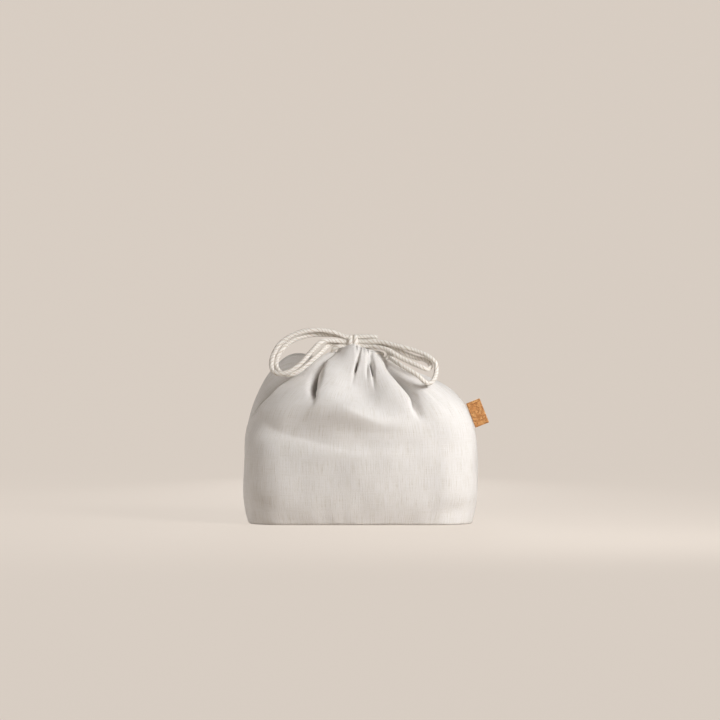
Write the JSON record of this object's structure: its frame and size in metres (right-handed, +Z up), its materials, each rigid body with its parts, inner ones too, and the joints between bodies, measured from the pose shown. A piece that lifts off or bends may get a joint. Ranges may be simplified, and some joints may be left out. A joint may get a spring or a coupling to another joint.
{
  "type": "drawstring lunch bag",
  "caption": "Soft cloth lunch bag with an oblong base, drawn shut at the neck by cords tied in a bow, with a folded cork tag in the side seam.",
  "frame": {"origin": "middle of the base, on the surface the bag stands on", "axes": "+Z up, +X to the side with the tag (the right, seen from the front), +Y to the back, so the front faces -Y"},
  "size_m": [0.2146, 0.112, 0.1687],
  "materials": {
    "linen": "matt slubby linen-look weave",
    "binding": "plain woven tape",
    "cotton_cord": "twisted undyed cotton",
    "cork": "cork-faced sheet with dark flecks"
  },
  "bodies": {
    "bag": {"front_panel": "linen", "back_panel": "linen", "base_panel": "linen", "front_casing": "linen", "back_casing": "linen", "base_binding": "binding", "left_seam_binding": "binding", "right_seam_binding": "binding", "left_drawcord": "cotton_cord", "right_drawcord": "cotton_cord", "left_lead_front": "cotton_cord", "left_lead_back": "cotton_cord", "right_lead_front": "cotton_cord", "right_lead_back": "cotton_cord", "knot_wrap_left": "cotton_cord", "knot_wrap_right": "cotton_cord", "knot_core": "cotton_cord"},
    "left_loop": {"left_loop_outer": "cotton_cord", "left_loop_inner": "cotton_cord"},
    "right_loop": {"right_loop_outer": "cotton_cord", "right_loop_inner": "cotton_cord"},
    "tail": {"cord_tail": "cotton_cord"},
    "tag": {"cork_tag": "cork"}
  },
  "joints": [
    {"name": "left_loop_lift", "type": "hinge", "parent": "bag", "child": "left_loop", "pos_m": [-0.01125, -0.003, 0.1629], "axis": [0, 1, 0], "range_deg": [0, 50]},
    {"name": "right_loop_lift", "type": "hinge", "parent": "bag", "child": "right_loop", "pos_m": [-0.00215, -0.003, 0.1629], "axis": [0, -1, 0], "range_deg": [0, 45]},
    {"name": "tail_flex", "type": "hinge", "parent": "right_loop", "child": "tail", "pos_m": [-0.00215, -0.003, 0.1629], "axis": [0, -1, 0], "range_deg": [0, 40]},
    {"name": "tag_flex", "type": "hinge", "parent": "bag", "child": "tag", "pos_m": [0.09655, 0, 0.0925], "axis": [-0.3675, 0, 0.93], "range_deg": [-70, 70], "stiffness_Nm_per_rad": 0.002}
  ]
}
